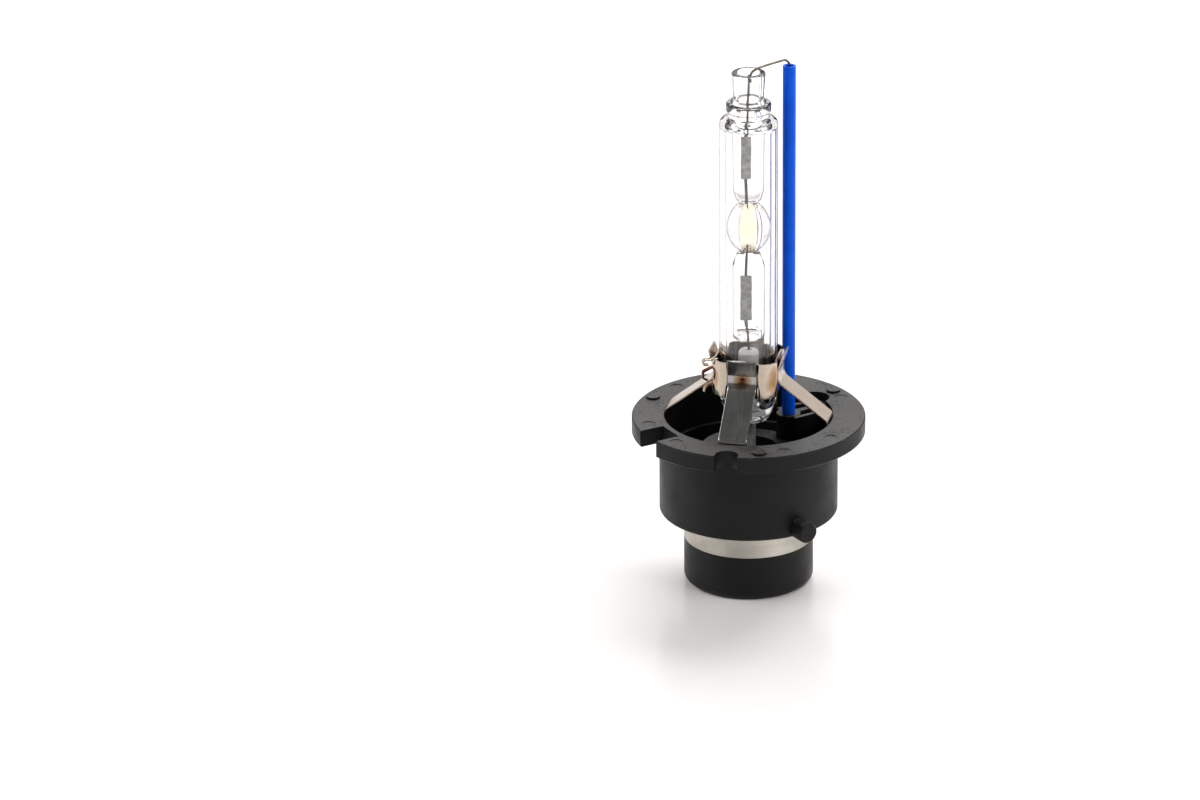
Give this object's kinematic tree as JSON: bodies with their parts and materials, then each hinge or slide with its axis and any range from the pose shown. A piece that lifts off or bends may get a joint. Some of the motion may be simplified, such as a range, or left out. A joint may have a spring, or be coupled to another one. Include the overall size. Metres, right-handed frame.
{
  "type": "headlight bulb",
  "caption": "Gas-discharge headlight bulb: quartz arc tube in a glass jacket, clamped by spring legs on a keyed round plastic base with a return wire in a ceramic sleeve.",
  "frame": {"origin": "centre of the lamp's reference plane, which touches the tops of the three seat bosses on the flange, on the lamp axis", "axes": "+Z along the lamp axis towards the glass tip, -Y through the middle of the flange's round key notch, +X to the right seen from the notch"},
  "size_m": [0.032, 0.0319, 0.0743],
  "materials": {
    "black_plastic": "moulded heat-resistant plastic, satin, fine grain",
    "plated_ring": "nickel-plated ring, finely turned",
    "contact_metal": "nickel-plated contact pin",
    "spring_steel": "rolled stainless strip, bright, with brown weld tints",
    "quartz_glass": "clear fused quartz",
    "tungsten": "drawn tungsten rod",
    "molybdenum": "thin molybdenum foil",
    "lead_wire": "drawn molybdenum or nickel wire",
    "grey_ceramic": "grey ceramic tube",
    "blue_ceramic": "blue glazed ceramic tube",
    "metal_salts": "fused halide salt beads",
    "mercury": "liquid metal bead"
  },
  "bodies": {
    "root": {"base_housing": "black_plastic", "connector_cap": "black_plastic", "contact_ring": "plated_ring", "centre_contact": "contact_metal", "support_leg_front": "spring_steel", "support_leg_right": "spring_steel", "support_leg_back": "spring_steel", "support_leg_left": "spring_steel", "clamp_band": "spring_steel", "outer_envelope": "quartz_glass", "arc_tube": "quartz_glass", "lower_stem": "quartz_glass", "upper_electrode": "tungsten", "lower_electrode": "tungsten", "upper_foil": "molybdenum", "lower_foil": "molybdenum", "upper_lead": "lead_wire", "lower_lead": "lead_wire", "return_wire": "lead_wire", "lead_insulator": "grey_ceramic", "insulating_sleeve": "blue_ceramic", "salt_pellets": "metal_salts", "mercury_bead": "mercury"}
  },
  "joints": []
}
